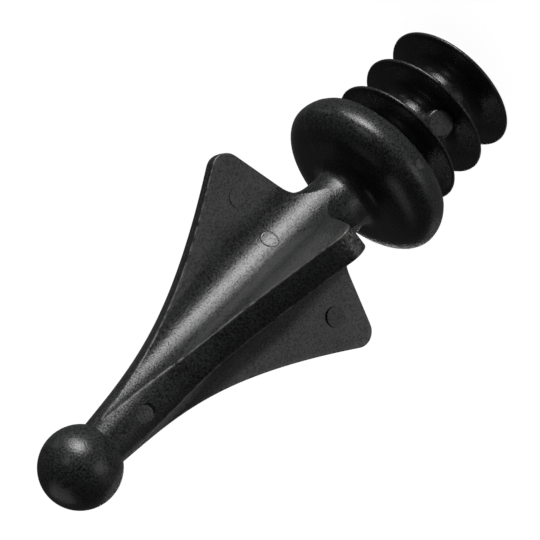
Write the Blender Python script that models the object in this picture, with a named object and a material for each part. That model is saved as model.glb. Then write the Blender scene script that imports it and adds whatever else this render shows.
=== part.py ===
"""Push-in finial for a round pole, moulded in one piece of black plastic.

A plug with three thin fins grips the inside of the tube, and a domed collar seats on its end.
Above a short neck stands a spear of four wings, and a ball tops it.
The Z axis is the pole's axis, and z = 0 is the plug's flat end face.
The mould opens along Y: two wings lie along X in its parting plane, two point along Y.
"""

import math

import bmesh
import bpy
from mathutils import Matrix

# Plug: three fins on a waisted shaft, sized for a tube of 25 mm with a bore of 23 mm.
FIN_DIAMETER = 0.0240
FIN_THICKNESS = 0.0007
FIN_PITCH = 0.0071
FIN_COUNT = 3
SHAFT_DIAMETER = 0.0112
SHAFT_FILLET = 0.0024

# Pad that an ejector pin pushes on: a flat-topped boss between the upper two fins.
PAD_DIAMETER = 0.0049
PAD_REACH = 0.0080
PAD_EDGE_ROUND = 0.0005
PAD_SINK = 0.0002
PIN_LINE_OFFSET = -0.0006

# Collar: a flat seat below, a bulging rim and a quarter-ellipse dome.
SEAT_HEIGHT = 0.0198
SEAT_DIAMETER = 0.0278
COLLAR_DIAMETER = 0.0300
RIM_HEIGHT = 0.0032
DOME_HEIGHT = 0.0043

# Neck: narrowest just above the dome, then flaring into the wings' lower edges.
NECK_DIAMETER = 0.0108
NECK_FOOT_FILLET = 0.0024
NECK_LENGTH = 0.0093
NECK_LEAN = math.radians(1.0)
NECK_PULL = 0.0039

# Spear outline, from the straight lower edge round the wing tips and up the hollow flanks.
SHOULDER_DIAMETER = 0.0180
SHOULDER_PULL = 0.0028
SHOULDER_LEAN = math.radians(17.0)
WING_SPAN = 0.0399
WING_TIP_ROUND = 0.0027
SPEAR_LENGTH = 0.0493
FLANK_LOWER_LEAN = math.radians(33.0)
FLANK_LOWER_PULL = 0.0258
FLANK_UPPER_LEAN = math.radians(5.5)
FLANK_UPPER_PULL = 0.0121

# Ball on its narrow throat.
BALL_DIAMETER = 0.01306
THROAT_DIAMETER = 0.0081

# Wings: each pair keeps its thickness, then thickens a little towards the throat.
SIDE_WING_THICKNESS = 0.0025
SIDE_WING_AT_THROAT = 0.0030
FRONT_WING_THICKNESS = 0.0043
FRONT_WING_AT_THROAT = 0.0048
WING_GROWTH_LENGTH = 0.0360

# Valleys between the wings: a quarter-ellipse fillet, long in X, that narrows towards the throat.
VALLEY_WIDTH = 0.0080
VALLEY_WIDTH_AT_THROAT = 0.0020
VALLEY_DEPTH = 0.0066
VALLEY_DEPTH_AT_THROAT = 0.0058
VALLEY_TAPER_LENGTH = 0.0340

# Round marks left by the ejector pins.
WING_MARK_DIAMETER = 0.0035
WING_MARK_PLACE = 0.01275
WING_MARK_RISE = 0.0068
RIM_MARK_DIAMETER = 0.0018
TIP_MARK_DROP = 0.0066
MARK_DEPTH = 0.00015

# Facets.
TURNED_STEPS = 52
FILLET_STEPS = 4
FLARE_STEPS = 7
FLANK_STEPS = 18
VALLEY_STEPS = 8
MARK_STEPS = 20

SHARP_EDGE = math.radians(35)


def arc(centre, radius, start, end, steps):
    """Points (r, z) along a circular arc, its angles in degrees from the r axis."""
    angles = [math.radians(start + (end - start) * i / steps) for i in range(steps + 1)]
    return [(centre[0] + radius * math.cos(a), centre[1] + radius * math.sin(a)) for a in angles]


def curve(start, pull_start, pull_end, end, steps):
    """Points along a cubic Bezier curve through start and end."""
    points = []
    for i in range(steps + 1):
        t = i / steps
        weights = ((1 - t) ** 3, 3 * t * (1 - t) ** 2, 3 * t * t * (1 - t), t ** 3)
        corners = (start, pull_start, pull_end, end)
        points.append(tuple(sum(w * c[k] for w, c in zip(weights, corners)) for k in (0, 1)))
    return points


def rim_height():
    return SEAT_HEIGHT + RIM_HEIGHT


def dome_top():
    return rim_height() + DOME_HEIGHT


def neck_top():
    return dome_top() + NECK_LENGTH


def shoulder_height(radius):
    """Height of the wings' sloping lower edge at a radius."""
    return neck_top() + (radius - SHOULDER_DIAMETER / 2) * math.tan(SHOULDER_LEAN)


def throat_height():
    return neck_top() + SPEAR_LENGTH


def fin_middle(index):
    return FIN_THICKNESS / 2 + index * FIN_PITCH


def plug_profile():
    """The fins' rounded rims and the filleted shaft between them, up to the collar's seat."""
    half = FIN_THICKNESS / 2
    shaft = SHAFT_DIAMETER / 2 + SHAFT_FILLET
    points = [(0, 0)]
    for index in range(FIN_COUNT):
        middle = fin_middle(index)
        ceiling = SEAT_HEIGHT
        if index + 1 < FIN_COUNT:
            ceiling = fin_middle(index + 1) - half
        points += arc((FIN_DIAMETER / 2 - half, middle), half, -90, 90, 4)
        points += arc((shaft, middle + half + SHAFT_FILLET), SHAFT_FILLET, 270, 180, FILLET_STEPS)
        points += arc((shaft, ceiling - SHAFT_FILLET), SHAFT_FILLET, 180, 90, FILLET_STEPS)
    return points


def collar_profile():
    """The seat's edge, the bulging rim, the dome and the fillet at the foot of the neck."""
    overhang = (COLLAR_DIAMETER - SEAT_DIAMETER) / 2
    bulge = (overhang ** 2 + RIM_HEIGHT ** 2) / (2 * overhang)
    sweep = math.degrees(math.asin(RIM_HEIGHT / bulge))
    points = arc((COLLAR_DIAMETER / 2 - bulge, rim_height()), bulge, -sweep, 0, 4)
    inner = NECK_DIAMETER / 2 + NECK_FOOT_FILLET
    width = COLLAR_DIAMETER / 2 - inner
    dome = arc((0, 0), 1, 0, 90, 9)
    points += [(inner + width * x, rim_height() + DOME_HEIGHT * y) for x, y in dome[1:]]
    waist = 180 - math.degrees(NECK_LEAN)
    points += arc((inner, dome_top() + NECK_FOOT_FILLET), NECK_FOOT_FILLET, 270, waist, 5)[1:]
    return points


def neck_profile(start):
    """The neck's flare, from the top of its foot fillet to the wings' straight lower edge."""
    end = (SHOULDER_DIAMETER / 2, neck_top())
    up = (start[0] + NECK_PULL * math.sin(NECK_LEAN), start[1] + NECK_PULL * math.cos(NECK_LEAN))
    back_r = end[0] - SHOULDER_PULL * math.cos(SHOULDER_LEAN)
    back_z = end[1] - SHOULDER_PULL * math.sin(SHOULDER_LEAN)
    return curve(start, up, (back_r, back_z), end, FLARE_STEPS)[1:]


def spear_profile():
    """The wing tip's round and the hollow flank."""
    lean = math.degrees(SHOULDER_LEAN)
    tip = WING_SPAN / 2 - WING_TIP_ROUND
    tip_centre = (tip, shoulder_height(tip) + WING_TIP_ROUND / math.cos(SHOULDER_LEAN))
    flank_angle = math.degrees(FLANK_LOWER_LEAN)
    points = arc(tip_centre, WING_TIP_ROUND, lean - 90, flank_angle, 8)
    start = points[-1]
    end = (THROAT_DIAMETER / 2, throat_height())
    lower = (
        start[0] - FLANK_LOWER_PULL * math.sin(FLANK_LOWER_LEAN),
        start[1] + FLANK_LOWER_PULL * math.cos(FLANK_LOWER_LEAN),
    )
    upper = (
        end[0] + FLANK_UPPER_PULL * math.sin(FLANK_UPPER_LEAN),
        end[1] - FLANK_UPPER_PULL * math.cos(FLANK_UPPER_LEAN),
    )
    return points + curve(start, lower, upper, end, FLANK_STEPS)[1:]


def ball_profile():
    """The ball, from its throat to the pole's axis."""
    radius = BALL_DIAMETER / 2
    throat = math.degrees(math.acos(THROAT_DIAMETER / BALL_DIAMETER))
    centre = (0, throat_height() + radius * math.sin(math.radians(throat)))
    return arc(centre, radius, -throat, 90, 12)[1:-1] + [(0, centre[1] + radius)]


def new_object(name, shape):
    """A mesh object made from a bmesh, its faces turned outwards."""
    bmesh.ops.recalc_face_normals(shape, faces=shape.faces)
    mesh = bpy.data.meshes.new(name)
    shape.to_mesh(mesh)
    shape.free()
    thing = bpy.data.objects.new(name, mesh)
    bpy.context.scene.collection.objects.link(thing)
    return thing


def turned(name, profile):
    """A closed solid of revolution about Z from points (r, z) that start and end on the axis."""
    shape = bmesh.new()
    verts = [shape.verts.new((r, 0, z)) for r, z in profile]
    edges = [shape.edges.new(pair) for pair in zip(verts, verts[1:])]
    bmesh.ops.spin(
        shape,
        geom=verts + edges,
        cent=(0, 0, 0),
        axis=(0, 0, 1),
        angle=math.tau,
        steps=TURNED_STEPS,
        use_merge=True,
    )
    bmesh.ops.remove_doubles(shape, verts=shape.verts, dist=1e-6)
    return new_object(name, shape)


def grown(start, end, height, length):
    """A size that is start low on the spear and grows evenly to end over the length below the throat."""
    share = 1 - (throat_height() - height) / length
    return start + (end - start) * min(max(share, 0), 1)


def side_wing_half(height):
    return grown(SIDE_WING_THICKNESS, SIDE_WING_AT_THROAT, height, WING_GROWTH_LENGTH) / 2


def front_wing_half(height):
    return grown(FRONT_WING_THICKNESS, FRONT_WING_AT_THROAT, height, WING_GROWTH_LENGTH) / 2


def valley_section(height, side, front):
    """Corner points, at one height, of the space between the wing along X and the wing along Y."""
    reach = WING_SPAN
    width = grown(VALLEY_WIDTH, VALLEY_WIDTH_AT_THROAT, height, VALLEY_TAPER_LENGTH)
    depth = grown(VALLEY_DEPTH, VALLEY_DEPTH_AT_THROAT, height, VALLEY_TAPER_LENGTH)
    inner_x = front_wing_half(height)
    inner_y = side_wing_half(height)
    round_part = arc((1, 1), 1, 270, 180, VALLEY_STEPS)
    bend = [(inner_x + width * x, inner_y + depth * y) for x, y in round_part]
    outline = [(reach, inner_y)] + bend + [(inner_x, reach), (reach, reach)]
    return [(side * x, front * y, height) for x, y in outline]


def valley_heights():
    """Section heights, from the neck's waist to the throat, closer together where the valleys taper."""
    waist = dome_top() + NECK_FOOT_FILLET
    reach = max(VALLEY_TAPER_LENGTH, WING_GROWTH_LENGTH)
    return [waist] + [throat_height() - reach * (1 - i / FLANK_STEPS) for i in range(FLANK_STEPS + 1)]


def valley_cutter():
    """The four spaces between the wings, each lofted through its sections."""
    shape = bmesh.new()
    for side in (1, -1):
        for front in (1, -1):
            rings = []
            for height in valley_heights():
                points = valley_section(height, side, front)
                rings.append([shape.verts.new(point) for point in points])
            for low, high in zip(rings, rings[1:]):
                for i in range(len(low)):
                    j = (i + 1) % len(low)
                    shape.faces.new((low[i], low[j], high[j], high[i]))
            shape.faces.new(rings[0])
            shape.faces.new(rings[-1])
    return new_object("valley_cutter", shape)


def rod(shape, diameter, place, near, far):
    """A rod along -Y at place (x, z), from depth near to depth far. Returns its verts."""
    made = bmesh.ops.create_cone(
        shape,
        cap_ends=True,
        segments=MARK_STEPS,
        radius1=diameter / 2,
        radius2=diameter / 2,
        depth=far - near,
    )
    bmesh.ops.rotate(shape, verts=made["verts"], matrix=Matrix.Rotation(math.radians(90), 3, "X"))
    bmesh.ops.translate(shape, verts=made["verts"], vec=(place[0], -(near + far) / 2, place[1]))
    return made["verts"]


def ejector_pad():
    """The flat-topped boss, rising from the shaft and resting on the middle fin's face."""
    shape = bmesh.new()
    floor = fin_middle(FIN_COUNT - 2) + FIN_THICKNESS / 2
    place = (PIN_LINE_OFFSET, floor + PAD_DIAMETER / 2 - PAD_SINK)
    verts = rod(shape, PAD_DIAMETER, place, SHAFT_DIAMETER / 4, PAD_REACH)
    top = [v for v in verts if v.co.y < -PAD_REACH + PAD_EDGE_ROUND]
    edges = {edge for v in top for edge in v.link_edges if edge.other_vert(v) in top}
    bmesh.ops.bevel(shape, geom=list(edges), offset=PAD_EDGE_ROUND, segments=3, profile=0.5, affect="EDGES")
    return new_object("ejector_pad", shape)


def flank_radius(height):
    """Radius of the spear's outline at a height on the flank."""
    outline = spear_profile()
    for (r1, z1), (r2, z2) in zip(outline, outline[1:]):
        if z1 <= height <= z2:
            return r1 + (r2 - r1) * (height - z1) / (z2 - z1)
    return THROAT_DIAMETER / 2


def mark_cutter():
    """Shallow round recesses on the side wings, the front wing's rim and the collar's rim."""
    shape = bmesh.new()
    out = WING_SPAN
    wing_height = neck_top() + WING_MARK_RISE
    wing_depth = side_wing_half(wing_height) - MARK_DEPTH
    for side in (1, -1):
        rod(shape, WING_MARK_DIAMETER, (side * WING_MARK_PLACE, wing_height), wing_depth, out)
    tip_height = throat_height() - TIP_MARK_DROP
    rod(shape, WING_MARK_DIAMETER, (0, tip_height), flank_radius(tip_height) - MARK_DEPTH, out)
    rim = (PIN_LINE_OFFSET, SEAT_HEIGHT + RIM_HEIGHT / 2)
    rod(shape, RIM_MARK_DIAMETER, rim, COLLAR_DIAMETER / 2 - 3 * MARK_DEPTH, out)
    return new_object("mark_cutter", shape)


def boolean(thing, operation, tool):
    """Adds a Boolean with a helper object that stays out of the render."""
    modifier = thing.modifiers.new(tool.name, "BOOLEAN")
    modifier.operation = operation
    modifier.solver = "EXACT"
    modifier.object = tool
    tool.hide_render = True
    tool.display_type = "WIRE"


def black_plastic():
    material = bpy.data.materials.new("satin_black_plastic")
    material.use_nodes = True
    shader = material.node_tree.nodes["Principled BSDF"]
    shader.inputs["Base Color"].default_value = (0.012, 0.012, 0.013, 1)
    shader.inputs["Roughness"].default_value = 0.38
    shader.inputs["Metallic"].default_value = 0.0
    return material


def pole_finial():
    """One moulded piece: the turned form, less the valleys and pin marks, with the pad."""
    profile = plug_profile() + collar_profile()
    profile += neck_profile(profile[-1]) + spear_profile() + ball_profile()
    finial = turned("pole_finial", profile)
    finial.data.materials.append(black_plastic())
    finial.data.shade_smooth()
    finial.data.set_sharp_from_angle(angle=SHARP_EDGE)
    boolean(finial, "DIFFERENCE", valley_cutter())
    boolean(finial, "UNION", ejector_pad())
    boolean(finial, "DIFFERENCE", mark_cutter())


for old in list(bpy.data.objects):
    bpy.data.objects.remove(old, do_unlink=True)
pole_finial()
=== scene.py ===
"""Scene of a push-in pole finial: one moulded piece of satin black plastic on a plain pale floor.

The finial stands on its plug's flat end face, with the Z axis as the pole's axis.
Two thin wings lie along X in the mould's parting plane, and two thicker ones point along Y.
"""

import math

import bmesh
import bpy
from bpy.props import FloatProperty, FloatVectorProperty, PointerProperty
from mathutils import Matrix, Quaternion, Vector


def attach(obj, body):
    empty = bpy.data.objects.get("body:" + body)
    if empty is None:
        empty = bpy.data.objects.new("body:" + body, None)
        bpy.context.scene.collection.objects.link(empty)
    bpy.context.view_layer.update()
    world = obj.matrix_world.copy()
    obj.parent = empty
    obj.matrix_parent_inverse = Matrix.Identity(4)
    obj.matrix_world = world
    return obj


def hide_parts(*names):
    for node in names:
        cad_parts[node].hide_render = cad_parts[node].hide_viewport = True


bl_info = {
    "name": "Pole Finial",
    "version": (1, 0, 0),
    "blender": (4, 5, 0),
    "location": "3D View > Sidebar > Pole Finial",
    "description": "Builds a moulded push-in finial for a round pole, and a plain studio for it",
    "category": "Object",
}

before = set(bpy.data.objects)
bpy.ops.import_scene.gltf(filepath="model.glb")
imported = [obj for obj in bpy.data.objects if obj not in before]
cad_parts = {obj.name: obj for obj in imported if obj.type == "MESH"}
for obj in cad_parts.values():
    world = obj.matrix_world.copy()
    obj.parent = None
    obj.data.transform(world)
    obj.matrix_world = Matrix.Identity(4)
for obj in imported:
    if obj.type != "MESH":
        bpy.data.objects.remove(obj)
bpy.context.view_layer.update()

NODE = "pole_finial"
BODY = "root"
MM = 0.001
FIN_COUNT = 3

# Facets of the fine mesh
END_FACE_STEPS = 5
FIN_RIM_STEPS = 6
FLAT_STEPS = 3
COLLAR_RIM_STEPS = 9
DOME_STEPS = 22
NECK_FOOT_STEPS = 12
NECK_STEPS = 60
LOWER_EDGE_STEPS = 12
WING_TIP_STEPS = 30
FLANK_STEPS = 120
BALL_STEPS = 44
RIM_STEPS_SIDE = 10
RIM_STEPS_FRONT = 12
ARRIS_STEPS = 5
VALLEY_STEPS = 34
FILLET_STEPS = 10
MARK_STEPS = 48
PAD_STEPS = 64
PAD_ROUND_STEPS = 8
FLASH_STEPS = 3

# Edges that bend by more than this are shaded sharp
SHARP_ANGLE = math.radians(32)

# Steps between sections of the spear, close together where the valleys open and end
CLOSE_STEP = 0.12 * MM
WIDE_STEP = 0.5 * MM
CLOSE_OVER_OPENING = 4 * MM
CLOSE_UNDER_THROAT = 1.5 * MM

# Longest and shortest step that is left as it is, as shares of the wanted step
LONGEST_STEP = 1.2
SHORTEST_STEP = 0.3

# Halvings in a search for a place on the valley's wall, and for a height
PLACE_SEARCH = 40
HEIGHT_SEARCH = 50

# An arris is rounded over no more than these shares of the valley's opening and of the rim beside it
OPENING_SHARE = 0.25
RIM_SHARE = 0.45

# Paleness beside an arris, as a share of the arris's own, and how it grows from the neck's top upwards. The
# paleness is partly wear and partly a painted highlight along the arris.
BESIDE_ARRIS = 0.4
WEAR_AND_SHEEN_RISE = 3 * MM
WEAR_AND_SHEEN_LEAST = 0.1

# Ejector pins. A tilt is the face's rise for each metre along X and along Z.
PAD_TILT = (0.0, -0.17)
PAD_LID_INSET = 0.1 * MM
WING_PIN_FACES = (
    # side of the axis, height over the wing's face, tilt
    (1, 0.12 * MM, (0.02, 0.03)),
    (-1, 0.16 * MM, (0.08, 0.08)),
)
WING_PIN_ROOT = 0.7
WING_PIN_GAP = 0.01 * MM
TIP_PIN_REACH = 1.5 * MM

# Parting line's flash: distance between its points, the paleness painted at its crest as a highlight, least
# share of its full height
FLASH_STEP = 0.07 * MM
FLASH_SHEEN = 2.5
FLASH_LEAST = 0.3


def length(name, description, metres):
    """A size that the user may change, in metres."""
    return FloatProperty(
        name=name, description=description, default=metres,
        min=0.0, unit="LENGTH", subtype="DISTANCE", precision=5,
    )


def lean(name, description, degrees):
    """An angle that the user may change."""
    return FloatProperty(name=name, description=description, default=math.radians(degrees), subtype="ANGLE")


def share(name, description, value):
    """A share from 0 to 1."""
    return FloatProperty(
        name=name, description=description, default=value, min=0.0, max=1.0, subtype="FACTOR"
    )


class FinialSizes(bpy.types.PropertyGroup):
    """Sizes of the moulded piece."""

    fin_diameter: length("Fin diameter", "Free diameter of the three gripping fins", 0.0240)
    fin_thickness: length("Fin thickness", "Thickness of each fin", 0.0007)
    fin_pitch: length("Fin pitch", "Distance from one fin to the next", 0.0071)
    shaft_diameter: length("Shaft diameter", "Diameter of the plug's shaft at its waist", 0.0112)
    shaft_fillet: length("Shaft fillet", "Fillet between the shaft and each fin", 0.0024)
    pad_diameter: length("Pad diameter", "Diameter of the ejector pad on the shaft", 0.0049)
    pad_reach: length("Pad reach", "Distance of the pad's flat top from the axis", 0.0080)
    pad_edge_round: length("Pad edge round", "Rounding of the pad's edge", 0.0005)
    pad_sink: length("Pad sink", "Depth to which the pad sinks into the middle fin", 0.0002)
    pin_line_offset: length("Pin line offset", "Sideways place of the pad and the rim mark", 0.0006)
    seat_height: length("Seat height", "Height of the collar's flat seat above the plug's end", 0.0198)
    seat_diameter: length("Seat diameter", "Diameter of the collar's seat", 0.0278)
    collar_diameter: length("Collar diameter", "Widest diameter of the collar", 0.0300)
    rim_height: length("Rim height", "Height of the collar's bulging rim", 0.0032)
    dome_height: length("Dome height", "Height of the dome above the rim", 0.0043)
    neck_diameter: length("Neck diameter", "Diameter of the neck at its waist", 0.0108)
    neck_foot_fillet: length("Neck foot fillet", "Fillet between the dome and the neck", 0.0024)
    neck_length: length("Neck length", "Length from the dome's top to the wings' straight lower edge", 0.0093)
    neck_lean: lean("Neck lean", "Lean of the neck's side at its waist", 1.0)
    neck_pull: length("Neck pull", "How far the neck keeps its direction at the waist", 0.0039)
    shoulder_diameter: length("Shoulder diameter", "Diameter where the flare meets the straight edge", 0.0180)
    shoulder_pull: length("Shoulder pull", "How far the flare keeps the straight edge's direction", 0.0028)
    shoulder_lean: lean("Shoulder lean", "Slope of the wings' lower edge", 17.0)
    wing_span: length("Wing span", "Width across two opposite wing tips", 0.0399)
    wing_tip_round: length("Wing tip round", "Rounding of the wing tips, seen from the side", 0.0027)
    spear_length: length("Spear length", "Length from the straight lower edge to the throat", 0.0493)
    flank_lower_lean: lean("Flank lower lean", "Lean of the hollow flank at the wing tip", 33.0)
    flank_lower_pull: length("Flank lower pull", "How far the flank keeps its lower direction", 0.0258)
    flank_upper_lean: lean("Flank upper lean", "Lean of the hollow flank at the throat", 5.5)
    flank_upper_pull: length("Flank upper pull", "How far the flank keeps its upper direction", 0.0121)
    ball_diameter: length("Ball diameter", "Diameter of the ball", 0.01306)
    throat_diameter: length("Throat diameter", "Diameter where the spear meets the ball", 0.0081)
    side_wing: length("Side wing thickness", "Thickness of the wings along X", 0.0025)
    side_wing_at_throat: length("Side wing at throat", "Their thickness at the throat", 0.0030)
    front_wing: length("Front wing thickness", "Thickness of the wings along Y", 0.0043)
    front_wing_at_throat: length("Front wing at throat", "Their thickness at the throat", 0.0048)
    wing_growth: length("Wing growth length", "Length below the throat over which the wings thicken", 0.0360)
    valley_width: length("Valley fillet width", "Reach of the valley's fillet along X", 0.0080)
    valley_width_at_throat: length("Valley fillet width at throat", "Its reach along X at the throat", 0.0020)
    valley_depth: length("Valley fillet depth", "Reach of the valley's fillet along Y", 0.00695)
    valley_depth_at_throat: length("Valley fillet depth at throat", "Its reach along Y at the throat", 0.0058)
    valley_taper: length("Valley taper length", "Length below the throat where the fillet narrows", 0.0340)
    arris_round: length("Arris round", "Rounding of the wings' long edges", 0.0002)
    wing_mark_diameter: length("Wing mark diameter", "Diameter of the ejector marks on the wings", 0.0035)
    wing_mark_place: length("Wing mark place", "Distance of the wing marks from the axis", 0.01275)
    wing_mark_rise: length("Wing mark rise", "Height of the wing marks above the neck's top", 0.0068)
    rim_mark_diameter: length("Rim mark diameter", "Diameter of the mark on the collar's rim", 0.0018)
    tip_mark_drop: length("Tip mark drop", "Distance of the front wing's mark below the throat", 0.0066)
    tip_mark_depth: length("Tip mark depth", "Depth of the mark on the front wing's rim", 0.00022)
    tip_mark_wall: length("Tip mark wall", "Width of that mark's sloping wall", 0.00035)
    rim_mark_depth: length("Rim mark depth", "Depth of the mark on the collar's rim", 0.00045)
    valley_mark_diameter: length("Valley mark diameter", "Diameter of the pin's ring in the valley", 0.0024)
    valley_mark_place: length("Valley mark place", "Distance of that ring from the axis", 0.00495)
    valley_mark_rise: length("Valley mark rise", "Height of that ring above the neck's top", 0.0080)
    flash_height: length("Flash height", "Height of the parting line's flash on the neck", 0.00007)


class FinialFinish(bpy.types.PropertyGroup):
    """Colours of the plastic and the stage."""

    plastic: FloatVectorProperty(
        name="Plastic", description="Colour of the moulded plastic",
        subtype="COLOR", default=(0.0095, 0.0100, 0.0100),
    )
    # Colour of the scuffs, and of the painted highlight on the arrises and the flash's crest
    scuff_and_sheen: FloatVectorProperty(
        name="Scuffed plastic", description="Colour of worn plastic",
        subtype="COLOR", default=(0.100, 0.098, 0.094),
    )
    floor: FloatVectorProperty(
        name="Floor", description="Colour of the floor",
        subtype="COLOR", default=(0.86, 0.86, 0.86),
    )
    gloss: share("Roughness", "Mean roughness of the plastic", 0.315)
    grain: share("Grain", "How far the roughness varies with the moulding grain", 0.11)
    relief: length("Relief", "Depth of the moulding grain", 0.000022)


# Outline of the turned form, as points (r, z)

def arc(centre, radius, start, end, steps):
    """Points along a circular arc, its angles in degrees from the r axis."""
    angles = [math.radians(start + (end - start) * i / steps) for i in range(steps + 1)]
    return [(centre[0] + radius * math.cos(a), centre[1] + radius * math.sin(a)) for a in angles]


def curve(start, pull_start, pull_end, end, steps):
    """Points along a cubic Bezier curve through start and end."""
    points = []
    for i in range(steps + 1):
        t = i / steps
        weights = ((1 - t) ** 3, 3 * t * (1 - t) ** 2, 3 * t * t * (1 - t), t ** 3)
        corners = (start, pull_start, pull_end, end)
        points.append(tuple(sum(w * c[k] for w, c in zip(weights, corners)) for k in (0, 1)))
    return points


def dome_top(s):
    return s.seat_height + s.rim_height + s.dome_height


def neck_top(s):
    return dome_top(s) + s.neck_length


def shoulder_height(s, radius):
    """Height of the wings' sloping lower edge at a radius."""
    return neck_top(s) + (radius - s.shoulder_diameter / 2) * math.tan(s.shoulder_lean)


def throat_height(s):
    return neck_top(s) + s.spear_length


def fin_middle(s, index):
    return s.fin_thickness / 2 + index * s.fin_pitch


def line(start, end, steps):
    """Points between start and end, both left out."""
    return [
        tuple(a + (b - a) * i / steps for a, b in zip(start, end))
        for i in range(1, steps)
    ]


def plug_profile(s):
    """The fins' rounded rims and the filleted shaft between them, up to the collar's seat."""
    half = s.fin_thickness / 2
    shaft = s.shaft_diameter / 2 + s.shaft_fillet
    rim = s.fin_diameter / 2 - half
    points = line((0, 0), (rim, 0), END_FACE_STEPS)
    for index in range(FIN_COUNT):
        middle = fin_middle(s, index)
        ceiling = s.seat_height
        if index + 1 < FIN_COUNT:
            ceiling = fin_middle(s, index + 1) - half
        points += arc((rim, middle), half, -90, 90, FIN_RIM_STEPS)
        points += line(points[-1], (shaft, middle + half), FLAT_STEPS)
        points += arc((shaft, middle + half + s.shaft_fillet), s.shaft_fillet, 270, 180, FILLET_STEPS)
        points += arc((shaft, ceiling - s.shaft_fillet), s.shaft_fillet, 180, 90, FILLET_STEPS)
        outer = s.seat_diameter / 2 if index + 1 == FIN_COUNT else rim
        points += line(points[-1], (outer, ceiling), FLAT_STEPS)
    return points


def collar_profile(s):
    """The seat's edge, the bulging rim, the dome and the fillet at the foot of the neck."""
    overhang = (s.collar_diameter - s.seat_diameter) / 2
    bulge = (overhang ** 2 + s.rim_height ** 2) / (2 * overhang)
    sweep = math.degrees(math.asin(s.rim_height / bulge))
    rim_top = s.seat_height + s.rim_height
    points = arc((s.collar_diameter / 2 - bulge, rim_top), bulge, -sweep, 0, COLLAR_RIM_STEPS)
    inner = s.neck_diameter / 2 + s.neck_foot_fillet
    width = s.collar_diameter / 2 - inner
    dome = arc((0, 0), 1, 0, 90, DOME_STEPS)
    points += [(inner + width * x, rim_top + s.dome_height * y) for x, y in dome[1:]]
    waist = 180 - math.degrees(s.neck_lean)
    foot = (inner, dome_top(s) + s.neck_foot_fillet)
    return points + arc(foot, s.neck_foot_fillet, 270, waist, NECK_FOOT_STEPS)[1:]


def spear_profile(s):
    """The neck's flare, the straight lower edge, the wing tip's round and the hollow flank."""
    waist = collar_profile(s)[-1]
    end = (s.shoulder_diameter / 2, neck_top(s))
    up = (waist[0] + s.neck_pull * math.sin(s.neck_lean), waist[1] + s.neck_pull * math.cos(s.neck_lean))
    back_r = end[0] - s.shoulder_pull * math.cos(s.shoulder_lean)
    back_z = end[1] - s.shoulder_pull * math.sin(s.shoulder_lean)
    points = curve(waist, up, (back_r, back_z), end, NECK_STEPS)[1:]
    tip = s.wing_span / 2 - s.wing_tip_round
    tip_centre = (tip, shoulder_height(s, tip) + s.wing_tip_round / math.cos(s.shoulder_lean))
    first, last = math.degrees(s.shoulder_lean) - 90, math.degrees(s.flank_lower_lean)
    round_part = arc(tip_centre, s.wing_tip_round, first, last, WING_TIP_STEPS)
    points += line(end, round_part[0], LOWER_EDGE_STEPS) + round_part
    start = points[-1]
    end = (s.throat_diameter / 2, throat_height(s))
    lower = (
        start[0] - s.flank_lower_pull * math.sin(s.flank_lower_lean),
        start[1] + s.flank_lower_pull * math.cos(s.flank_lower_lean),
    )
    upper = (
        end[0] + s.flank_upper_pull * math.sin(s.flank_upper_lean),
        end[1] - s.flank_upper_pull * math.cos(s.flank_upper_lean),
    )
    return points + curve(start, lower, upper, end, FLANK_STEPS)[1:]


def ball_profile(s):
    """The ball above the throat, up to its last ring below the top."""
    radius = s.ball_diameter / 2
    throat = math.degrees(math.acos(s.throat_diameter / s.ball_diameter))
    centre = (0, throat_height(s) + radius * math.sin(math.radians(throat)))
    return arc(centre, radius, -throat, 90, BALL_STEPS)[1:-1]


def outline_radius(profile, height):
    """Radius of the spear's outline at a height."""
    if height <= profile[0][1]:
        return profile[0][0]
    for (r1, z1), (r2, z2) in zip(profile, profile[1:]):
        if z1 <= height <= z2 and z2 > z1:
            return r1 + (r2 - r1) * (height - z1) / (z2 - z1)
    return profile[-1][0]


# Cross-section of the spear: one quarter, from the side wing's middle to the front wing's middle

def grown(s, start, end, height, reach):
    """A size that is start low on the spear and grows evenly to end over the reach below the throat."""
    part = 1 - (throat_height(s) - height) / reach
    return start + (end - start) * min(max(part, 0), 1)


def valley_point(s, height, place):
    """A point on the wall of the space between two wings.

    Place runs from -1 to 0 along the side wing's face, to 1 round the fillet, and to 2 along the front
    wing's face.
    """
    side = grown(s, s.side_wing, s.side_wing_at_throat, height, s.wing_growth) / 2
    front = grown(s, s.front_wing, s.front_wing_at_throat, height, s.wing_growth) / 2
    width = grown(s, s.valley_width, s.valley_width_at_throat, height, s.valley_taper)
    depth = grown(s, s.valley_depth, s.valley_depth_at_throat, height, s.valley_taper)
    turn = math.pi / 2 * min(max(place, 0), 1)
    along = s.wing_span * max(-place, 0)
    out = s.wing_span * max(place - 1, 0)
    return Vector((front + width * (1 - math.sin(turn)) + along, side + depth * (1 - math.cos(turn)) + out))


def valley_floor(s, height):
    """Place on the valley's wall that comes nearest to the axis."""
    low, high = 0.0, 1.0
    for _ in range(PLACE_SEARCH):
        a, b = low + (high - low) / 3, high - (high - low) / 3
        if valley_point(s, height, a).length < valley_point(s, height, b).length:
            high = b
        else:
            low = a
    return (low + high) / 2


def valley_end(s, height, radius, floor, far):
    """Place on the valley's wall, between its floor and far, that lies on the outline's radius."""
    inner, outer = floor, far
    for _ in range(PLACE_SEARCH):
        middle = (inner + outer) / 2
        if valley_point(s, height, middle).length < radius:
            inner = middle
        else:
            outer = middle
    return (inner + outer) / 2


def on_circle(radius, angle):
    return Vector((radius * math.cos(angle), radius * math.sin(angle)))


def rim_arc(radius, start, end, steps):
    """Points on a circle from angle start to angle end."""
    return [on_circle(radius, start + (end - start) * i / steps) for i in range(steps + 1)]


def flash_crest(s, height):
    """Height of the parting line's flash: most on the neck, none on the plug and the ball."""
    if height <= s.seat_height or height >= throat_height(s):
        return 0.0
    middle = dome_top(s) + s.neck_length / 3
    near = math.exp(-((height - middle) / (s.neck_length / 2)) ** 2)
    return s.flash_height * (FLASH_LEAST + (1 - FLASH_LEAST) * near)


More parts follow.
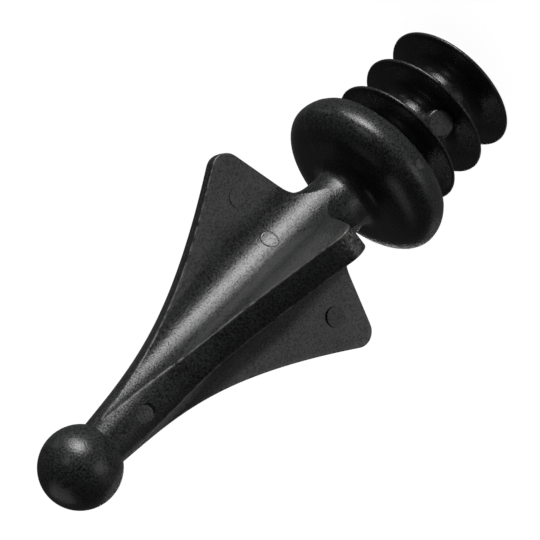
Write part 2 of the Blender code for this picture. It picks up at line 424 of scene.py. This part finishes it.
def parted_arc(s, height, radius, end):
    """Points on the side wing's half of the rim, from the parting line's flash to angle end."""
    step = min(FLASH_STEP, 0.1 * radius * end) / radius
    crest = flash_crest(s, height)
    flash = [on_circle(radius + crest * (1 - i / FLASH_STEPS) ** 1.5, i * step) for i in range(FLASH_STEPS)]
    return flash + rim_arc(radius, FLASH_STEPS * step, end, RIM_STEPS_SIDE)


def flash_sheen(s, height):
    """How pale the parting line's crest is painted, as a highlight: the paleness of a quarter's first point.
    """
    return FLASH_SHEEN * flash_crest(s, height) / max(s.flash_height, 1e-9)


def rounded(before, corner, after):
    """Points that round a corner between two points near it, both left out."""
    points = []
    for i in range(1, ARRIS_STEPS + 1):
        t = i / (ARRIS_STEPS + 1)
        points.append(before * (1 - t) ** 2 + corner * 2 * t * (1 - t) + after * t * t)
    return points


def quarter(s, height, radius):
    """Section points from the side wing's middle to the front wing's, and how pale each is painted: wear and
    a painted highlight on the arrises, and a painted highlight on the flash's crest.

    Where the outline doesn't reach the valley, the points of the valley fall together in one.
    """
    floor = valley_floor(s, height)
    nearest = valley_point(s, height, floor)
    if nearest.length >= radius:
        meet = math.atan2(nearest.y, nearest.x)
        inner = parted_arc(s, height, radius, meet)
        outer = rim_arc(radius, meet, math.pi / 2, RIM_STEPS_FRONT)
        joined = [inner[-1]] * (2 * ARRIS_STEPS + VALLEY_STEPS + 1)
        points = inner + joined + outer
        return points, [flash_sheen(s, height)] + [0.0] * (len(points) - 1)
    near = valley_end(s, height, radius, floor, -1)
    far = valley_end(s, height, radius, floor, 2)
    side_corner, front_corner = valley_point(s, height, near), valley_point(s, height, far)
    opening = (side_corner - front_corner).length
    side_angle = math.atan2(side_corner.y, side_corner.x)
    front_angle = math.atan2(front_corner.y, front_corner.x)
    cut = min(s.arris_round, OPENING_SHARE * opening)
    cut = min(cut, RIM_SHARE * radius * side_angle, RIM_SHARE * radius * (math.pi / 2 - front_angle))
    step = 1e-4
    near_in = near + step * cut / (valley_point(s, height, near + step) - side_corner).length
    far_in = far - step * cut / (valley_point(s, height, far - step) - front_corner).length
    inner = parted_arc(s, height, radius, side_angle - cut / radius)
    outer = rim_arc(radius, front_angle + cut / radius, math.pi / 2, RIM_STEPS_FRONT)
    wall = evened(s, height, near_in, far_in)
    points = inner + rounded(inner[-1], side_corner, wall[0]) + wall
    points += rounded(wall[-1], front_corner, outer[0]) + outer
    # The arrises are painted paler, partly wear and partly a painted highlight, fuller higher above the
    # neck's top
    wear_and_sheen_level = min(max((height - neck_top(s)) / WEAR_AND_SHEEN_RISE, WEAR_AND_SHEEN_LEAST), 1.0)
    edge = [BESIDE_ARRIS * wear_and_sheen_level] + [wear_and_sheen_level] * ARRIS_STEPS + [BESIDE_ARRIS * wear_and_sheen_level]
    wear_and_sheen = [flash_sheen(s, height)] + [0.0] * (len(inner) - 2) + edge + [0.0] * (VALLEY_STEPS - 1)
    wear_and_sheen += edge + [0.0] * (len(outer) - 1)
    return points, wear_and_sheen


def evened(s, height, start, end):
    """Points along the valley's wall from place start to place end, at even distances."""
    fine = 120
    places = [start + (end - start) * i / fine for i in range(fine + 1)]
    samples = [valley_point(s, height, place) for place in places]
    travelled = [0.0]
    for a, b in zip(samples, samples[1:]):
        travelled.append(travelled[-1] + (b - a).length)
    points = []
    i = 0
    for k in range(VALLEY_STEPS + 1):
        goal = travelled[-1] * k / VALLEY_STEPS
        while i < fine - 1 and travelled[i + 1] < goal:
            i += 1
        gap = travelled[i + 1] - travelled[i]
        part = (goal - travelled[i]) / gap if gap > 0 else 0
        points.append(samples[i].lerp(samples[i + 1], min(max(part, 0), 1)))
    return points


# Rings of the mesh

def ring_from(points, wear_and_sheen, height):
    """The whole section from one quarter, as (x, y, z, paleness), the paleness being wear and a painted
    highlight.
    """
    flat = list(zip(points, wear_and_sheen))
    ring = [(p.x, -p.y, height, w) for p, w in flat[:-1]]
    ring += [(-p.x, -p.y, height, w) for p, w in flat[:0:-1]]
    ring += [(-p.x, p.y, height, w) for p, w in flat[:-1]]
    ring += [(p.x, p.y, height, w) for p, w in flat[:0:-1]]
    return ring


def turned_ring(s, radius, height, meet):
    """A round section with as many points, whose valley points fall together at the angle meet."""
    inner = parted_arc(s, height, radius, meet)
    outer = rim_arc(radius, meet, math.pi / 2, RIM_STEPS_FRONT)
    joined = [inner[-1]] * (2 * ARRIS_STEPS + VALLEY_STEPS + 1)
    points = inner + joined + outer
    # The flash's crest is painted paler, a painted highlight
    return ring_from(points, [flash_sheen(s, height)] + [0.0] * (len(points) - 1), height)


def spear_heights(s, profile, opens, closes):
    """Heights of the spear's sections: the outline's own points, and close steps at the valleys' ends."""
    tops = [z for r, z in profile]
    heights = [z for z in tops if z < opens - 2e-5 or z > closes + 2e-5]
    inside = []
    last = opens
    for z in [opens] + [z for z in tops if opens < z < closes] + [closes]:
        close = z < opens + CLOSE_OVER_OPENING or z > closes - CLOSE_UNDER_THROAT
        gap = CLOSE_STEP if close else WIDE_STEP
        while z - last > gap * LONGEST_STEP:
            last += gap
            inside.append(last)
        if z - last > gap * SHORTEST_STEP or z in (opens, closes):
            last = z
            inside.append(z)
    return sorted(set(heights + inside))


def crossing(s, profile, closed, opened):
    """Height at which a valley's floor meets the outline, between a closed height and an open one."""
    def is_open(height):
        floor = valley_point(s, height, valley_floor(s, height))
        return outline_radius(profile, height) > floor.length
    if is_open(closed) or not is_open(opened):
        raise ValueError("The valleys must end on the neck and at the throat")
    for _ in range(HEIGHT_SEARCH):
        middle = (closed + opened) / 2
        if is_open(middle):
            opened = middle
        else:
            closed = middle
    return (closed + opened) / 2


def floor_angle(s, height):
    nearest = valley_point(s, height, valley_floor(s, height))
    return math.atan2(nearest.y, nearest.x)


def all_rings(s):
    """Every section of the finial from the plug's end to the ball's top."""
    profile = spear_profile(s)
    middle = neck_top(s) + s.wing_mark_rise
    opens = crossing(s, profile, profile[0][1], middle)
    top = throat_height(s)
    closes = crossing(s, profile, top, middle)
    below, above = floor_angle(s, opens), floor_angle(s, closes)
    rings = [turned_ring(s, r, z, below) for r, z in plug_profile(s) + collar_profile(s)]
    for height in spear_heights(s, profile, opens, closes):
        radius = outline_radius(profile, height)
        if height <= opens:
            rings.append(turned_ring(s, radius, height, below))
        elif height >= closes:
            rings.append(turned_ring(s, radius, height, above))
        else:
            points, wear_and_sheen = quarter(s, height, radius)
            rings.append(ring_from(points, wear_and_sheen, height))
    rings += [turned_ring(s, r, z, above) for r, z in ball_profile(s)]
    return rings


def same_place(a, b):
    return abs(a[0] - b[0]) + abs(a[1] - b[1]) + abs(a[2] - b[2]) < 1e-8


def skinned(rings, end_heights):
    """A closed mesh through the rings, with a point at each end on the axis."""
    shape = bmesh.new()
    # Each point keeps how pale it is painted: wear, and a painted highlight on the arrises and the flash's
    # crest
    wear_and_sheen_level = shape.verts.layers.float.new("edge_wear_and_sheen")
    loops = []
    for ring in rings:
        verts = []
        for place in ring:
            if verts and same_place(verts[-1].co, place):
                verts.append(verts[-1])
                continue
            vert = shape.verts.new(place[:3])
            vert[wear_and_sheen_level] = place[3]
            verts.append(vert)
        loops.append(verts)
    ends = [shape.verts.new((0, 0, height)) for height in end_heights]
    count = len(loops[0])
    for low, high in zip(loops, loops[1:]):
        for i in range(count):
            j = (i + 1) % count
            corners = []
            for vert in (low[i], low[j], high[j], high[i]):
                if vert not in corners:
                    corners.append(vert)
            if len(corners) > 2:
                shape.faces.new(corners)
    for end, loop in zip(ends, (loops[0], loops[-1])):
        for i in range(count):
            j = (i + 1) % count
            if loop[i] is not loop[j]:
                shape.faces.new((end, loop[i], loop[j]))
    bmesh.ops.recalc_face_normals(shape, faces=shape.faces)
    return shape


def rod(shape, diameter, place, near, far, steps, flare=0.0):
    """A rod along -Y at place (x, z), from depth near to depth far, wider by flare there.

    Returns its verts.
    """
    made = bmesh.ops.create_cone(
        shape, cap_ends=True, segments=steps,
        radius1=diameter / 2, radius2=diameter / 2 + flare, depth=far - near,
    )
    bmesh.ops.rotate(shape, verts=made["verts"], matrix=Matrix.Rotation(math.radians(90), 3, "X"))
    bmesh.ops.translate(shape, verts=made["verts"], vec=(place[0], -(near + far) / 2, place[1]))
    return made["verts"]


def mesh_object(name, shape):
    """Turns a shape into a mesh object in the scene."""
    mesh = bpy.data.meshes.new(name)
    shape.to_mesh(mesh)
    shape.free()
    thing = bpy.data.objects.new(name, mesh)
    bpy.context.scene.collection.objects.link(thing)
    return thing


def ejector_pad(s):
    """The flat-topped boss, rising from the shaft and resting on the middle fin's face."""
    shape = bmesh.new()
    floor = fin_middle(s, FIN_COUNT - 2) + s.fin_thickness / 2
    place = (-s.pin_line_offset, floor + s.pad_diameter / 2 - s.pad_sink)
    verts = rod(shape, s.pad_diameter, place, s.shaft_diameter / 4, s.pad_reach, PAD_STEPS)
    tilted(verts, s.pad_reach, place, PAD_TILT)
    top = [v for v in verts if v.co.y < -s.pad_reach + 2 * s.pad_edge_round]
    edges = [edge for edge in shape.edges if all(v in top for v in edge.verts)]
    bmesh.ops.bevel(
        shape, geom=edges, affect="EDGES",
        offset=s.pad_edge_round, segments=PAD_ROUND_STEPS, profile=0.5,
    )
    shape.normal_update()
    lid = max((face for face in shape.faces if face.normal.y < -0.9), key=lambda face: face.calc_area())
    bmesh.ops.inset_region(shape, faces=[lid], thickness=PAD_LID_INSET)
    return mesh_object("pad", shape)


def tilted(verts, end, place, tilt):
    """Tilts a rod's end face at depth end, by a rise along X and one along Z for each metre."""
    for vert in verts:
        if abs(vert.co.y + end) < 1e-7:
            vert.co.y -= tilt[0] * (vert.co.x - place[0]) + tilt[1] * (vert.co.z - place[1])


def wing_pins(s, inside):
    """The ejector pins' end faces on the side wings, as rods outside them or just inside them."""
    shape = bmesh.new()
    height = neck_top(s) + s.wing_mark_rise
    face = s.side_wing / 2
    for side, lift, tilt in WING_PIN_FACES:
        place = (side * s.wing_mark_place, height)
        if inside:
            diameter = s.wing_mark_diameter - WING_PIN_GAP
            verts = rod(shape, diameter, place, WING_PIN_ROOT * face, face + lift, MARK_STEPS)
        else:
            verts = rod(shape, s.wing_mark_diameter, place, face + lift, s.wing_span, MARK_STEPS)
        tilted(verts, face + lift, place, tilt)
    return mesh_object("wing_pins", shape)


def rim_pins(s):
    """Rods that sink the ejector marks into the front wing's rim and the collar's rim."""
    shape = bmesh.new()
    tip = throat_height(s) - s.tip_mark_drop
    floor = outline_radius(spear_profile(s), tip) - s.tip_mark_depth
    inner = s.wing_mark_diameter - 2 * s.tip_mark_wall
    rod(shape, inner, (0, tip), floor, floor + TIP_PIN_REACH, MARK_STEPS, flare=TIP_PIN_REACH)
    rim = (-s.pin_line_offset, s.seat_height + s.rim_height / 2)
    depth = s.collar_diameter / 2 - s.rim_mark_depth
    rod(shape, s.rim_mark_diameter, rim, depth, s.wing_span, MARK_STEPS)
    return mesh_object("rim_pins", shape)


def combine(thing, operation, tool):
    """Applies an exact Boolean with a second object, which is then removed."""
    modifier = thing.modifiers.new(tool.name, "BOOLEAN")
    modifier.operation = operation
    modifier.solver = "EXACT"
    modifier.object = tool
    bpy.context.view_layer.update()
    done = thing.evaluated_get(bpy.context.evaluated_depsgraph_get())
    mesh = bpy.data.meshes.new_from_object(done)
    thing.modifiers.clear()
    old = thing.data
    thing.data = mesh
    bpy.data.meshes.remove(old)
    bpy.data.objects.remove(tool, do_unlink=True)


# Materials

PLASTIC_IOR = 1.6

# Noise: its scale, for coordinates in metres, and its detail
CLOUDS = (190, 4)
GRAIN = (3400, 0.6)
BREAKS = (900, 3)
SCRATCHES = (2100, 4)

# Values of noise that count as none and as all
USUAL_RANGE = (0.3, 0.7)
GRAIN_RANGE = (0.15, 0.85)
BREAK_RANGE = (0.38, 0.58)
SCRATCH_RANGE = (0.47, 0.63)

# The wing tip's scuff patch: its middle, its form, and the distances in mm at which it is full and gone
SCUFF_PLACE = (0.6 * MM, -19.2 * MM, 41.2 * MM)
SCUFF_SQUASH = (1, 1, 0.8)
SCUFF_FULL = 1.2
SCUFF_GONE = 2.9

# The pin's ring in the valley, in mm: half the width of its line, and the reach in depth from the axis
PIN_LINE_HALF = 0.14
PIN_LINE_REACH = 6.0

# The grain's dark and light colours, as shares of the plastic's colour
DARK_SHARE = 0.2
LIGHT_SHARE = 2.6

# How far the grain and the clouds turn the dark colour into the light one, from none of them to all
GRAIN_SHADE = (-0.15, 0.75)
CLOUD_SHADE = (0.0, 0.3)

# Relief, as shares of the grain's
CLOUD_RELIEF = 0.6
PIN_LINE_RELIEF = 1.1
SCUFF_RELIEF = 1.6

# Roughness that clouds add or take away, and that the pale paint adds: on worn and scuffed plastic, and on
# the painted highlights of the arrises and the flash
CLOUD_ROUGHNESS = 0.025
WORN_ROUGHNESS = 0.12

# Levels of the floor's own light and of the studio's
FLOOR_GLOW = 0.93
STUDIO_DIM = 0.045


def node(tree, kind, **values):
    made = tree.nodes.new(kind)
    for name, value in values.items():
        setattr(made, name, value)
    return made


def value_map(tree, source, low, high, out_low, out_high):
    """Turns values from low to high into values from out_low to out_high."""
    made = node(tree, "ShaderNodeMapRange")
    made.inputs["From Min"].default_value = low
    made.inputs["From Max"].default_value = high
    made.inputs["To Min"].default_value = out_low
    made.inputs["To Max"].default_value = out_high
    tree.links.new(source, made.inputs["Value"])
    return made.outputs["Result"]


def noise(tree, where, scale, detail):
    made = node(tree, "ShaderNodeTexNoise")
    made.inputs["Scale"].default_value = scale
    made.inputs["Detail"].default_value = detail
    tree.links.new(where, made.inputs["Vector"])
    return made.outputs["Fac"]


def calculated(tree, operation, first, second):
    """A Math node of two inputs, each a socket or a number."""
    made = node(tree, "ShaderNodeMath", operation=operation)
    for socket, value in zip(made.inputs, (first, second)):
        if isinstance(value, (int, float)):
            socket.default_value = value
        else:
            tree.links.new(value, socket)
    return made.outputs["Value"]


def distance_from(tree, where, point, squash=(1, 1, 1)):
    """Distance from a point, in mm, with each axis multiplied by its share in squash."""
    moved = node(tree, "ShaderNodeVectorMath", operation="SUBTRACT")
    moved.inputs[1].default_value = point
    tree.links.new(where, moved.inputs[0])
    scaled = node(tree, "ShaderNodeVectorMath", operation="MULTIPLY")
    scaled.inputs[1].default_value = [part / MM for part in squash]
    tree.links.new(moved.outputs[0], scaled.inputs[0])
    far = node(tree, "ShaderNodeVectorMath", operation="LENGTH")
    tree.links.new(scaled.outputs[0], far.inputs[0])
    return far.outputs["Value"]


def valley_pin_ring(s, tree, where):
    """A thin ring where a pin met the valley's curved wall: 1 on its line, 0 elsewhere."""
    height = neck_top(s) + s.valley_mark_rise
    far = distance_from(tree, where, (s.valley_mark_place, 0, height), squash=(1, 0, 1))
    off = calculated(tree, "SUBTRACT", far, s.valley_mark_diameter / 2 / MM)
    on_line = value_map(tree, calculated(tree, "ABSOLUTE", off, 0), 0.0, PIN_LINE_HALF, 1.0, 0.0)
    depth = distance_from(tree, where, (0, 0, 0), squash=(0, 1, 0))
    parts = node(tree, "ShaderNodeSeparateXYZ")
    tree.links.new(where, parts.inputs[0])
    in_front = calculated(tree, "LESS_THAN", parts.outputs["Y"], 0.0)
    in_reach = calculated(tree, "LESS_THAN", depth, PIN_LINE_REACH)
    return calculated(tree, "MULTIPLY", on_line, calculated(tree, "MULTIPLY", in_front, in_reach))


def plastic_material(s, finish):
    """Satin black plastic: fine grain, slight unevenness, a scuffed wing tip, and paler arrises and flash
    crest, partly wear and partly a painted highlight.
    """
    material = bpy.data.materials.new("satin_black_plastic")
    material.use_nodes = True
    tree = material.node_tree
    shader = tree.nodes["Principled BSDF"]
    shader.inputs["IOR"].default_value = PLASTIC_IOR
    link = tree.links.new
    where = node(tree, "ShaderNodeTexCoord").outputs["Object"]
    clouds = noise(tree, where, *CLOUDS)
    grain = noise(tree, where, *GRAIN)
    breaks = noise(tree, where, *BREAKS)
    # The arrises and the flash's crest are painted paler, partly wear and partly a painted highlight, broken
    # up by noise
    edge = node(tree, "ShaderNodeAttribute", attribute_name="edge_wear_and_sheen").outputs["Fac"]
    ragged = value_map(tree, breaks, *BREAK_RANGE, 0.0, 1.0)
    wear_and_sheen = calculated(tree, "MULTIPLY", edge, ragged)
    tip = distance_from(tree, where, SCUFF_PLACE, squash=SCUFF_SQUASH)
    patch = value_map(tree, tip, SCUFF_FULL, SCUFF_GONE, 1.0, 0.0)
    scratches = value_map(tree, noise(tree, where, *SCRATCHES), *SCRATCH_RANGE, 0.0, 1.0)
    scuffs = calculated(tree, "MULTIPLY", patch, scratches)
    ring = valley_pin_ring(s, tree, where)
    # Pale paint: the painted highlight and wear of the edges, and the scuffs on the wing tip
    pale = calculated(tree, "MAXIMUM", wear_and_sheen, scuffs)
    shade = node(tree, "ShaderNodeMix", data_type="RGBA")
    shade.inputs["A"].default_value = (*[DARK_SHARE * c for c in finish.plastic], 1)
    shade.inputs["B"].default_value = (*[LIGHT_SHARE * c for c in finish.plastic], 1)
    mottle = value_map(tree, grain, *USUAL_RANGE, *GRAIN_SHADE)
    drift = value_map(tree, clouds, *USUAL_RANGE, *CLOUD_SHADE)
    link(calculated(tree, "ADD", mottle, drift), shade.inputs["Factor"])
    colour = node(tree, "ShaderNodeMix", data_type="RGBA")
    colour.inputs["B"].default_value = (*finish.scuff_and_sheen, 1)
    link(shade.outputs["Result"], colour.inputs["A"])
    link(pale, colour.inputs["Factor"])
    link(colour.outputs["Result"], shader.inputs["Base Color"])
    low, high = finish.gloss - CLOUD_ROUGHNESS, finish.gloss + CLOUD_ROUGHNESS
    uneven = value_map(tree, clouds, *USUAL_RANGE, low, high)
    speckled = value_map(tree, grain, *GRAIN_RANGE, -finish.grain, finish.grain)
    rough = calculated(tree, "ADD", uneven, speckled)
    rubbed = calculated(tree, "MULTIPLY", pale, WORN_ROUGHNESS)
    link(calculated(tree, "ADD", rough, rubbed), shader.inputs["Roughness"])
    relief = calculated(tree, "ADD", grain, calculated(tree, "MULTIPLY", clouds, CLOUD_RELIEF))
    relief = calculated(tree, "SUBTRACT", relief, calculated(tree, "MULTIPLY", ring, PIN_LINE_RELIEF))
    relief = calculated(tree, "SUBTRACT", relief, calculated(tree, "MULTIPLY", scuffs, SCUFF_RELIEF))
    bump = node(tree, "ShaderNodeBump")
    bump.inputs["Strength"].default_value = 1.0
    bump.inputs["Distance"].default_value = finish.relief
    link(relief, bump.inputs["Height"])
    link(bump.outputs["Normal"], shader.inputs["Normal"])
    return material


def floor_material(finish):
    """Plain pale floor that stays near white to the camera and keeps the object's shadow."""
    material = bpy.data.materials.new("pale_floor")
    material.use_nodes = True
    tree = material.node_tree
    tree.nodes.clear()
    out = node(tree, "ShaderNodeOutputMaterial")
    matt = node(tree, "ShaderNodeBsdfDiffuse")
    matt.inputs["Color"].default_value = (*finish.floor, 1)
    glow = node(tree, "ShaderNodeEmission")
    glow.inputs["Color"].default_value = (1, 1, 1, 1)
    path = node(tree, "ShaderNodeLightPath")
    seen = node(tree, "ShaderNodeMath", operation="MULTIPLY")
    seen.inputs[1].default_value = FLOOR_GLOW
    tree.links.new(path.outputs["Is Camera Ray"], seen.inputs[0])
    tree.links.new(seen.outputs[0], glow.inputs["Strength"])
    both = node(tree, "ShaderNodeAddShader")
    tree.links.new(matt.outputs[0], both.inputs[0])
    tree.links.new(glow.outputs[0], both.inputs[1])
    tree.links.new(both.outputs[0], out.inputs["Surface"])
    return material


# Stage

CAMERA_PLACE = Vector((0.08428, -0.27068, 0.16096))
CAMERA_FORWARD = Vector((-0.27464, 0.88574, -0.37421))
CAMERA_ROLL = math.radians(-135.69)
CAMERA_LENS = 127.87

# Softboxes: name, direction from the object, width, height and power
LAMPS = (
    ("key_front", (0.79, -0.50, -0.36), 0.18, 0.15, 5.8),
    ("key_side", (0.92, -0.24, -0.33), 0.20, 0.15, 4.8),
    ("low_right", (0.45, -0.27, -0.84), 0.25, 0.25, 1.3),
    ("left", (-0.79, -0.50, -0.34), 0.25, 0.25, 0.5),
    ("front_left", (-0.37, -0.86, -0.37), 0.25, 0.25, 0.95),
    ("front", (0.16, -0.93, -0.30), 0.30, 0.25, 0.7),
    ("low_front", (-0.10, -0.55, -0.83), 0.40, 0.25, 0.68),
    ("side", (0.89, 0.45, -0.07), 0.25, 0.25, 0.29),
    ("upper_right", (0.78, -0.46, 0.42), 0.25, 0.25, 0.29),
    ("back", (-0.50, 0.82, -0.28), 0.25, 0.25, 5.0),
    ("back_left", (-0.80, 0.52, -0.30), 0.30, 0.30, 1.2),
    ("top", (-0.25, 0.30, 0.92), 0.80, 0.80, 0.8),
)
LAMP_DISTANCE = 1.0
LAMP_AIM = Vector((0, 0, 0.045))
FLOOR_REACH = 6


def add_camera():
    lens = bpy.data.cameras.new("camera")
    lens.lens = CAMERA_LENS
    lens.sensor_width = 36
    lens.clip_start = 0.01
    camera = bpy.data.objects.new("camera", lens)
    turn = CAMERA_FORWARD.to_track_quat("-Z", "Y") @ Quaternion((0, 0, 1), CAMERA_ROLL)
    camera.location = CAMERA_PLACE
    camera.rotation_mode = "QUATERNION"
    camera.rotation_quaternion = turn
    bpy.context.scene.collection.objects.link(camera)
    bpy.context.scene.camera = camera


def add_lamp(name, towards, width, height, power):
    """A rectangular softbox that lies in the direction towards from the object's middle and faces it."""
    light = bpy.data.lights.new(name, "AREA")
    light.shape = "RECTANGLE"
    light.size = width
    light.size_y = height
    light.energy = power
    lamp = bpy.data.objects.new(name, light)
    out = Vector(towards).normalized()
    lamp.location = LAMP_AIM + out * LAMP_DISTANCE
    lamp.rotation_mode = "QUATERNION"
    lamp.rotation_quaternion = (-out).to_track_quat("-Z", "Y")
    bpy.context.scene.collection.objects.link(lamp)


class FINIAL_OT_moulded_piece(bpy.types.Operator):
    """Builds the finial's one moulded piece"""

    bl_idname = "finial.moulded_piece"
    bl_label = "Moulded Piece"

    def execute(self, context):
        s = context.scene.finial_sizes
        top = throat_height(s)
        radius = s.ball_diameter / 2
        top += math.sqrt(radius ** 2 - (s.throat_diameter / 2) ** 2) + radius
        shape = skinned(all_rings(s), (0.0, top))
        piece = mesh_object("moulded_finial", shape)
        combine(piece, "UNION", ejector_pad(s))
        combine(piece, "DIFFERENCE", wing_pins(s, inside=False))
        combine(piece, "UNION", wing_pins(s, inside=True))
        combine(piece, "DIFFERENCE", rim_pins(s))
        piece.data.materials.clear()
        piece.data.materials.append(plastic_material(s, context.scene.finial_finish))
        piece.data.shade_smooth()
        piece.data.set_sharp_from_angle(angle=SHARP_ANGLE)
        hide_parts(NODE)
        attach(piece, BODY)
        return {"FINISHED"}


class FINIAL_OT_stage(bpy.types.Operator):
    """Sets up the pale floor, the softboxes and the camera"""

    bl_idname = "finial.stage"
    bl_label = "Stage"

    def execute(self, context):
        finish = context.scene.finial_finish
        shape = bmesh.new()
        bmesh.ops.create_grid(shape, x_segments=1, y_segments=1, size=FLOOR_REACH)
        floor = mesh_object("floor", shape)
        floor.data.materials.append(floor_material(finish))
        floor.visible_shadow = False
        world = bpy.data.worlds.new("studio")
        world.use_nodes = True
        tree = world.node_tree
        back = tree.nodes["Background"]
        back.inputs["Color"].default_value = (1, 1, 1, 1)
        path = node(tree, "ShaderNodeLightPath")
        level = node(tree, "ShaderNodeMapRange")
        level.inputs["To Min"].default_value = STUDIO_DIM
        level.inputs["To Max"].default_value = 1.0
        tree.links.new(path.outputs["Is Camera Ray"], level.inputs["Value"])
        tree.links.new(level.outputs["Result"], back.inputs["Strength"])
        context.scene.world = world
        for name, towards, width, height, power in LAMPS:
            add_lamp(name, towards, width, height, power)
        add_camera()
        context.scene.view_settings.view_transform = "Standard"
        return {"FINISHED"}


class FINIAL_PT_panel(bpy.types.Panel):
    """Lists the finial's operators, sizes and colours"""

    bl_idname = "FINIAL_PT_panel"
    bl_label = "Pole Finial"
    bl_space_type = "VIEW_3D"
    bl_region_type = "UI"
    bl_category = "Pole Finial"

    def draw(self, context):
        layout = self.layout
        layout.operator(FINIAL_OT_moulded_piece.bl_idname)
        layout.operator(FINIAL_OT_stage.bl_idname)
        for group in (context.scene.finial_sizes, context.scene.finial_finish):
            box = layout.box()
            for name in group.__annotations__:
                box.prop(group, name)


CLASSES = (FinialSizes, FinialFinish, FINIAL_OT_moulded_piece, FINIAL_OT_stage, FINIAL_PT_panel)


def register():
    for cls in CLASSES:
        bpy.utils.register_class(cls)
    bpy.types.Scene.finial_sizes = PointerProperty(type=FinialSizes)
    bpy.types.Scene.finial_finish = PointerProperty(type=FinialFinish)


def unregister():
    del bpy.types.Scene.finial_finish
    del bpy.types.Scene.finial_sizes
    for cls in reversed(CLASSES):
        bpy.utils.unregister_class(cls)


def main():
    register()
    bpy.ops.finial.moulded_piece()
    bpy.ops.finial.stage()


if __name__ == "__main__":
    main()
